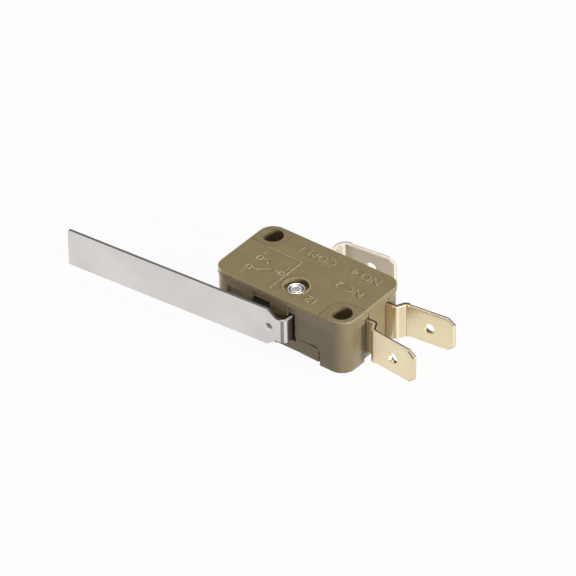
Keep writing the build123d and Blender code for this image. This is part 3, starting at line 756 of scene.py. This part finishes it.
# %% [markdown]
# ## Tinned brass terminals
#
# The blades are stamped from brass strip that was plated with a thin, pale tin before it was
# cut, so the faces are champagne and the sheared rims show the yellower brass. The broken-off
# half of each cut edge is painted dark, partly for its rough break and partly as a painted
# reflection of the dark card above. The skin is satin with a soft cloudiness from the plating,
# and the tight bends carry painted reflections, bands of darker and brighter tone. The plating's
# grain is drawn 0.15 mm wide, coarser than the real one, so that it shows. The rims could be
# real chamfers, but those would change the CAD solids, so a rounded normal that disagrees with
# the true one finds them. The common terminal is given a matt finish that mirrors less, and its
# paler colour is a painted brightness for the light its face shows. Beside its bend its inner
# face is painted darker, a painted reflection of the case's wall.

# %% Rims and the painted reflection on the common blade
SHEARED_RIM_MM = 0.12
SHEARED_RIM_SAMPLES = 6
SHEARED_RIM_TURN = 0.3
INNER_FACE = -0.8
# Where the common blade's inner face gets a painted reflection of the case's wall.
WALL_REFLECTION_FROM_MM = -13.6
WALL_REFLECTION_TO_MM = -10.4


def sheared_rim(material):
    """A value from 0 on flat faces to 1 on edges, where a rounded normal leaves the true one."""
    rounded = add_node(
        material,
        "ShaderNodeBevel",
        {"Radius": SHEARED_RIM_MM * MM},
        samples=SHEARED_RIM_SAMPLES,
    )
    geometry = add_node(material, "ShaderNodeNewGeometry")
    agree = add_node(
        material,
        "ShaderNodeVectorMath",
        {0: rounded.outputs["Normal"], 1: geometry.outputs["True Normal"]},
        operation="DOT_PRODUCT",
    )
    rim = add_node(material, "ShaderNodeMapRange", {
        "Value": agree.outputs["Value"],
        "From Min": 1.0,
        "From Max": 1.0 - SHEARED_RIM_TURN,
    })
    return rim.outputs[0]


def painted_wall_reflection(material, place):
    """A value that fades from 1 to 0 along the common blade's inner face, away from its bend, to
    paint the case wall's dark reflection there. The end terminals lie beyond the fade, so they
    get 0 all over.
    """
    normal = add_node(material, "ShaderNodeSeparateXYZ", {0: place.outputs["Normal"]})
    inner = add_node(
        material,
        "ShaderNodeMath",
        {0: normal.outputs["Y"], 1: INNER_FACE},
        operation="LESS_THAN",
    )
    position = add_node(material, "ShaderNodeSeparateXYZ", {0: place.outputs["Object"]})
    fade = add_node(
        material,
        "ShaderNodeMapRange",
        {
            "Value": position.outputs["X"],
            "From Min": WALL_REFLECTION_FROM_MM * MM,
            "From Max": WALL_REFLECTION_TO_MM * MM,
            "To Min": 1.0,
            "To Max": 0.0,
        },
        interpolation_type="SMOOTHSTEP",
    )
    reflection_darkened = add_node(
        material,
        "ShaderNodeMath",
        {0: inner.outputs[0], 1: fade.outputs[0]},
        operation="MULTIPLY",
    )
    return reflection_darkened.outputs[0]


print("clamped face fades over", round(WALL_REFLECTION_TO_MM - WALL_REFLECTION_FROM_MM, 1), "mm")

# %% Tinned brass
PLATING_CLOUD_MM = 2.5
PLATING_DETAIL = 3.0
PLATING_SPREAD = (0.3, 0.7)
PLATING_GRAIN_MM = 0.15
PLATING_GRAIN_DETAIL = 2.0
PLATING_BUMP = 0.1
PLATING_DEPTH_MM = 0.01
ROUNDED_RIM_MM = 0.12
# The grey of that painted reflection.
WALL_REFLECTION_GREY = "#A99E8F"


def tinned_brass(name, face, cloudy, sheared, dark_break_and_reflection, bands, roughness, metallic):
    """Plated brass strip: pale satin faces, yellower sheared rims, dark broken edges partly
    painted as reflection, and painted reflections at the bends and on the common blade.
    """
    material, shader = new_material(name)
    place = add_node(material, "ShaderNodeTexCoord")
    tint = cloudy_tint(
        material, place, PLATING_CLOUD_MM, PLATING_DETAIL, (face, cloudy), PLATING_SPREAD)
    rimmed = add_node(
        material,
        "ShaderNodeMix",
        {"Factor": sheared_rim(material), 6: tint, 7: srgb(sheared)},
        data_type="RGBA",
    )
    # The bends' painted reflections are multiplied in.
    banded = add_node(
        material,
        "ShaderNodeMix",
        {"Factor": 1.0, 6: rimmed.outputs[2], 7: painted_bend_reflection(material, place, bands)},
        data_type="RGBA",
        blend_type="MULTIPLY",
    )
    # The common blade's inner face beside the bend gets a painted reflection of the case's wall.
    reflection_darkened = add_node(
        material,
        "ShaderNodeMix",
        {"Factor": painted_wall_reflection(material, place), 6: banded.outputs[2], 7: srgb(WALL_REFLECTION_GREY)},
        data_type="RGBA",
    )
    edged = add_node(
        material,
        "ShaderNodeMix",
        {"Factor": fracture_and_dark_reflection_edge(material, place), 6: reflection_darkened.outputs[2], 7: srgb(dark_break_and_reflection)},
        data_type="RGBA",
    )
    wire(material, edged.outputs[2], shader.inputs["Base Color"])
    grain = add_node(material, "ShaderNodeTexNoise", {
        "Vector": place.outputs["Object"],
        "Scale": per_metre(PLATING_GRAIN_MM),
        "Detail": PLATING_GRAIN_DETAIL,
    })
    rounded = add_node(
        material,
        "ShaderNodeBevel",
        {"Radius": ROUNDED_RIM_MM * MM},
        samples=BEVEL_SAMPLES,
    )
    bump = add_node(material, "ShaderNodeBump", {
        "Height": grain.outputs["Fac"],
        "Strength": PLATING_BUMP,
        "Distance": PLATING_DEPTH_MM * MM,
        "Normal": rounded.outputs["Normal"],
    })
    wire(material, bump.outputs["Normal"], shader.inputs["Normal"])
    shader.inputs["Metallic"].default_value = metallic
    shader.inputs["Roughness"].default_value = roughness
    return material


print("plating: clouds of", PLATING_CLOUD_MM, "mm and grain of", PLATING_GRAIN_MM, "mm")

# %% Finishes of the terminals
# Tones round the bends are painted reflections; values above 1 are painted highlights.
JOG_REFLECTION_BANDS = [
    (0.0, 1.0),
    (0.16, 1.0),
    (0.26, 0.5),
    (0.5, 0.6),
    (0.72, 1.2),
    (0.85, 1.15),
    (0.9, 0.97),
]
ELBOW_REFLECTION_BANDS = [
    (0.0, 1.0),
    (0.16, 0.9),
    (0.28, 0.6),
    (0.5, 0.6),
    (0.62, 0.92),
    (0.8, 0.85),
    (0.97, 0.55),
]
terminal_finish = tinned_brass(
    "tinned_brass_end_terminal",
    face="#E4D5B4",
    cloudy="#EBDCBB",
    sheared="#EBCB85",
    dark_break_and_reflection="#5E4F44",
    bands=JOG_REFLECTION_BANDS,
    roughness=0.3,
    metallic=1.0,
)
# The common terminal's paler colour is a painted brightness, standing for the light its face
# shows.
pale_painted_common_finish = tinned_brass(
    "tinned_brass_common_terminal_painted_pale",
    face="#FBEFD8",
    cloudy="#FFF6E2",
    sheared="#FBF3E4",
    dark_break_and_reflection="#B9B6B8",
    bands=ELBOW_REFLECTION_BANDS,
    roughness=0.5,
    metallic=0.1,
)
print("brass nodes:", len(terminal_finish.node_tree.nodes))

# %% [markdown]
# ## Small finishes
#
# The rivet is nickel-plated brass with bright rolled rings, and its height paints the head
# darker down in the groove, a painted shade. The plunger is a glossy black acetal moulding, whose
# flow leaves some patches glossier than others. Inside, out of sight until the case is opened,
# the springs are copper alloy and steel and the contacts silver. Those three metals differ only
# in colour, gloss and grain, so one recipe serves them all. Their grain is drawn 0.1 to 0.3 mm
# wide, coarser than the real one, so that it shows.

# %% Inner metals and the rivet
GRAIN_DETAIL = 3.0
GRAIN_SPREAD = (0.3, 0.7)
GRAIN_SMOOTHER = 0.8
GRAIN_ROUGHER = 1.25
GRAIN_BUMP = 0.15
GRAIN_DEPTH_MM = 0.01
GROOVE_FLOOR_MM = 0.24
GROOVE_RIM_MM = 0.15
# The colour of the painted shade in the rivet's groove.
GROOVE_SHADE = "#55535A"
BRIGHT_NICKEL = "#F2F0EE"
NICKEL_ROUGHNESS = 0.24
rivet_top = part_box("case_rivet")[1].z


def plain_metal(name, colour, roughness, grain_mm):
    """A bright metal with a fine surface grain."""
    material, shader = new_material(name)
    place = add_node(material, "ShaderNodeTexCoord")
    grain = add_node(material, "ShaderNodeTexNoise", {
        "Vector": place.outputs["Object"],
        "Scale": per_metre(grain_mm),
        "Detail": GRAIN_DETAIL,
    })
    rough = add_node(material, "ShaderNodeMapRange", {
        "Value": grain.outputs["Fac"],
        "From Min": GRAIN_SPREAD[0],
        "From Max": GRAIN_SPREAD[1],
        "To Min": roughness * GRAIN_SMOOTHER,
        "To Max": roughness * GRAIN_ROUGHER,
    })
    wire(material, rough.outputs[0], shader.inputs["Roughness"])
    bump = add_node(material, "ShaderNodeBump", {
        "Height": grain.outputs["Fac"],
        "Strength": GRAIN_BUMP,
        "Distance": GRAIN_DEPTH_MM * MM,
    })
    wire(material, bump.outputs["Normal"], shader.inputs["Normal"])
    shader.inputs["Base Color"].default_value = srgb(colour)
    shader.inputs["Metallic"].default_value = 1.0
    return material


def rolled_rivet(name):
    """Nickel-plated rivet head: bright rolled rings, with painted shade down in the groove."""
    material, shader = new_material(name)
    place = add_node(material, "ShaderNodeTexCoord")
    position = add_node(material, "ShaderNodeSeparateXYZ", {0: place.outputs["Object"]})
    height = add_node(material, "ShaderNodeMapRange", {
        "Value": position.outputs["Z"],
        "From Min": rivet_top - GROOVE_FLOOR_MM * MM,
        "From Max": rivet_top - GROOVE_RIM_MM * MM,
    })
    colour = add_node(
        material,
        "ShaderNodeMix",
        {"Factor": height.outputs[0], 6: srgb(GROOVE_SHADE), 7: srgb(BRIGHT_NICKEL)},
        data_type="RGBA",
    )
    wire(material, colour.outputs[2], shader.inputs["Base Color"])
    shader.inputs["Roughness"].default_value = NICKEL_ROUGHNESS
    shader.inputs["Metallic"].default_value = 1.0
    return material


rivet_finish = rolled_rivet("nickel_plated_rivet")
silver_finish = plain_metal("silver_contact", "#EDEBE6", roughness=0.28, grain_mm=0.3)
copper_finish = plain_metal("copper_alloy_strip", "#D8A27A", roughness=0.3, grain_mm=0.25)
wire_finish = plain_metal("drawn_spring_wire", "#C9C9CB", roughness=0.3, grain_mm=0.1)
print("rivet head at", round(rivet_top / MM, 2), "mm")

# %% Black acetal
ACETAL_BLACK = "#1A1A1B"
ACETAL_IOR = 1.48
ACETAL_FLOW_MM = 0.8
ACETAL_FLOW_DETAIL = 2.0
ACETAL_GLOSSIEST = 0.24
ACETAL_DULLEST = 0.36


def black_acetal(name):
    """Glossy black moulding with a faint flow texture."""
    material, shader = new_material(name)
    place = add_node(material, "ShaderNodeTexCoord")
    flow = add_node(material, "ShaderNodeTexNoise", {
        "Vector": place.outputs["Object"],
        "Scale": per_metre(ACETAL_FLOW_MM),
        "Detail": ACETAL_FLOW_DETAIL,
    })
    rough = add_node(material, "ShaderNodeMapRange", {
        "Value": flow.outputs["Fac"],
        "To Min": ACETAL_GLOSSIEST,
        "To Max": ACETAL_DULLEST,
    })
    wire(material, rough.outputs[0], shader.inputs["Roughness"])
    shader.inputs["Base Color"].default_value = srgb(ACETAL_BLACK)
    shader.inputs["IOR"].default_value = ACETAL_IOR
    return material


plunger_finish = black_acetal("black_acetal_plunger")
print("plunger roughness from", ACETAL_GLOSSIEST, "to", ACETAL_DULLEST)

# %% [markdown]
# ## Finishes on the nodes
#
# Each CAD node keeps its mesh and gets the finish of the real piece. A table of names reads
# better than fourteen assignments, and it shows at a glance which pieces are of one metal.

# %% Finishes on the nodes
FINISHES = {
    "base_housing": housing_finish,
    "cover": cover_finish,
    "case_rivet": rivet_finish,
    "common_terminal": pale_painted_common_finish,
    "normally_open_terminal": terminal_finish,
    "normally_closed_terminal": terminal_finish,
    "normally_open_contact": silver_finish,
    "normally_closed_contact": silver_finish,
    "moving_contact": silver_finish,
    "contact_blade": copper_finish,
    "actuator_arm": copper_finish,
    "coil_spring": wire_finish,
    "lever": lever_finish,
    "plunger": plunger_finish,
}
for node_name, finish in FINISHES.items():
    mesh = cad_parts[node_name].data
    mesh.materials.clear()
    mesh.materials.append(finish)
print("finishes set on", len(FINISHES), "nodes")

# %% [markdown]
# ## Raised marks on the cover
#
# The mould leaves raised marks on the cover, a tenth of a millimetre high. They tell which
# blade is which: a number and a contact's name for each, and a small diagram of a changeover
# contact, the moving one drawn against the closed one. A plain 12 is the number of the mould's
# cavity. The marks read from the far side, upside down in this view. A bump map could draw
# them, but only real relief catches the light on its sides.
# Letters are text objects, given a height, made a mesh and then turned into place. Each stroke
# of the diagram is a box stretched to its length with its edges eased, and each terminal in it
# is a flattened ring.

# %% Letters, strokes and rings
MARK_HEIGHT_MM = 0.09
MARK_ROOT_MM = 0.05
MARK_EASE_MM = 0.03
MARK_EASE_STEPS = 2
STROKE_WIDTH_MM = 0.32
LETTER_CURVE_STEPS = 4
RING_STEPS = 32
RING_WIRE_STEPS = 12
HALF_TURN = pi
mark_depth = (MARK_HEIGHT_MM + MARK_ROOT_MM) * MM
mark_middle_z = cover_top - MARK_ROOT_MM * MM + mark_depth / 2


def finish_mark(mark, name):
    """Puts a mark's place into its mesh, gives it the cover's finish and ties it to the case."""
    bpy.ops.object.transform_apply(location=True, rotation=True, scale=True)
    mark.name = name
    mark.data.materials.clear()
    mark.data.materials.append(cover_finish)
    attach(mark, "case")


def raised_text(name, body, x_mm, y_mm, size_mm):
    """Raised letters with their middle at a point of the cover, read from the far side."""
    bpy.ops.object.select_all(action="DESELECT")
    bpy.ops.object.text_add(location=(0, 0, 0))
    letters = bpy.context.object
    letters.data.body = body
    letters.data.size = size_mm * MM
    letters.data.align_x = "CENTER"
    letters.data.align_y = "CENTER"
    letters.data.extrude = mark_depth / 2
    letters.data.resolution_u = LETTER_CURVE_STEPS
    bpy.ops.object.convert(target="MESH")
    mark = bpy.context.object
    mark.location = (x_mm * MM, y_mm * MM, mark_middle_z)
    mark.rotation_euler = (0, 0, HALF_TURN)
    finish_mark(mark, name)


def raised_stroke(name, start_mm, end_mm):
    """A raised straight stroke between two points of the cover, in millimetres."""
    start = Vector(start_mm) * MM
    end = Vector(end_mm) * MM
    along = end - start
    middle = (start + end) / 2
    bpy.ops.object.select_all(action="DESELECT")
    bpy.ops.mesh.primitive_cube_add(
        size=1,
        location=(middle.x, middle.y, mark_middle_z),
        rotation=(0, 0, -Vector((1, 0)).angle_signed(along, 0)),
        scale=(along.length + STROKE_WIDTH_MM * MM, STROKE_WIDTH_MM * MM, mark_depth),
    )
    mark = bpy.context.object
    bpy.ops.object.transform_apply(location=False, rotation=False, scale=True)
    ease = mark.modifiers.new("ease", "BEVEL")
    ease.width = MARK_EASE_MM * MM
    ease.segments = MARK_EASE_STEPS
    bpy.ops.object.modifier_apply(modifier="ease")
    finish_mark(mark, name)


def raised_ring(name, x_mm, y_mm, radius_mm):
    """A raised ring round a point of the cover."""
    bpy.ops.object.select_all(action="DESELECT")
    bpy.ops.mesh.primitive_torus_add(
        location=(x_mm * MM, y_mm * MM, cover_top),
        major_radius=radius_mm * MM,
        minor_radius=STROKE_WIDTH_MM / 2 * MM,
        major_segments=RING_STEPS,
        minor_segments=RING_WIRE_STEPS,
    )
    mark = bpy.context.object
    mark.scale.z = MARK_HEIGHT_MM / (STROKE_WIDTH_MM / 2)
    finish_mark(mark, name)


print("marks stand", MARK_HEIGHT_MM, "mm high")

# %% Names of the contacts
COVER_LABELS = {
    "common_label": ("COM 1", -12.6, 10.0, 2.5),
    "open_label": ("NO 4", -2.7, 10.2, 2.5),
    "closed_label": ("NC 2", -2.9, 5.9, 2.5),
    "cavity_label": ("12", -6.0, -0.2, 2.4),
}
for name, (body, label_x, label_y, label_size) in COVER_LABELS.items():
    raised_text(name, body, label_x, label_y, label_size)
print("labels:", len(COVER_LABELS))

# %% Contact diagram
DIAGRAM_X = -17.3
DIAGRAM_Y = 2.6
RING_RADIUS = 0.5
NUMBER_SIZE = 1.5
DIAGRAM_STROKES = {
    "common_lead": ((2.3, 0), (1.0, 0)),
    "moving_contact_stroke": ((1.0, 0), (-1.1, -1.25)),
    "closed_contact_stroke": ((-0.9, -1.5), (-2.3, -1.5)),
    "open_contact_stroke": ((-0.9, 1.5), (-2.3, 1.5)),
    "open_contact_tick": ((-0.9, 1.5), (-0.9, 0.9)),
}
DIAGRAM_RINGS = {
    "common_ring": (2.8, 0),
    "closed_ring": (-2.8, -1.5),
    "open_ring": (-2.8, 1.5),
}
DIAGRAM_NUMBERS = {
    "common_number": ("1", (2.8, 1.6)),
    "closed_number": ("2", (-2.8, -3.1)),
    "open_number": ("4", (-2.8, 3.1)),
}
for name, (start, end) in DIAGRAM_STROKES.items():
    raised_stroke(
        name,
        (DIAGRAM_X + start[0], DIAGRAM_Y + start[1]),
        (DIAGRAM_X + end[0], DIAGRAM_Y + end[1]),
    )
for name, (ring_x, ring_y) in DIAGRAM_RINGS.items():
    raised_ring(name, DIAGRAM_X + ring_x, DIAGRAM_Y + ring_y, RING_RADIUS)
for name, (body, (number_x, number_y)) in DIAGRAM_NUMBERS.items():
    raised_text(name, body, DIAGRAM_X + number_x, DIAGRAM_Y + number_y, NUMBER_SIZE)
print("diagram pieces:", len(DIAGRAM_STROKES) + len(DIAGRAM_RINGS) + len(DIAGRAM_NUMBERS))

# %% [markdown]
# ## The side flap
#
# Beside the lever's slot the near wall has a low panel, sunk by a fifth of a millimetre, and a
# thin flap of the moulding lies in it. The flap rises out of the panel beside the slot and
# stands just proud of the wall at its other end, where a narrow gap parts it from the corner.
# So its eased upper edge shows as a fine pale line, and the gap as a dark one. A dark line in
# the colour could stand for both, but it would lie still as the light moves. The flap is a box
# whose outer edge beside the slot is pushed back to a wedge, with all its edges eased by a
# bevel.

# %% Side flap
FLAP_LOW_MM = (-7.6, -2.64, 0.62)
FLAP_HIGH_MM = (-2.92, -2.36, 3.17)
FLAP_FALL_MM = 0.22
FLAP_EASE_MM = 0.07
FLAP_EASE_STEPS = 3


def side_flap():
    """A wedge-shaped flap in the near wall's sunk panel, right of the lever's slot."""
    low = Vector(FLAP_LOW_MM) * MM
    high = Vector(FLAP_HIGH_MM) * MM
    middle = (low + high) / 2
    bpy.ops.object.select_all(action="DESELECT")
    bpy.ops.mesh.primitive_cube_add(size=1, location=middle, scale=high - low)
    flap = bpy.context.object
    flap.name = "side_flap"
    bpy.ops.object.transform_apply(location=True, rotation=True, scale=True)
    bpy.ops.object.mode_set(mode="EDIT")
    bpy.ops.mesh.select_all(action="DESELECT")
    bpy.ops.object.mode_set(mode="OBJECT")
    for corner in flap.data.vertices:
        corner.select = corner.co.x < middle.x and corner.co.y < middle.y
    bpy.ops.object.mode_set(mode="EDIT")
    bpy.ops.transform.translate(value=(0, FLAP_FALL_MM * MM, 0))
    bpy.ops.object.mode_set(mode="OBJECT")
    ease = flap.modifiers.new("ease", "BEVEL")
    ease.width = FLAP_EASE_MM * MM
    ease.segments = FLAP_EASE_STEPS
    bpy.ops.object.modifier_apply(modifier="ease")
    flap.data.materials.append(housing_finish)
    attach(flap, "case")
    return flap


flap = side_flap()
print("side flap", [round(value / MM, 2) for value in flap.dimensions], "mm")
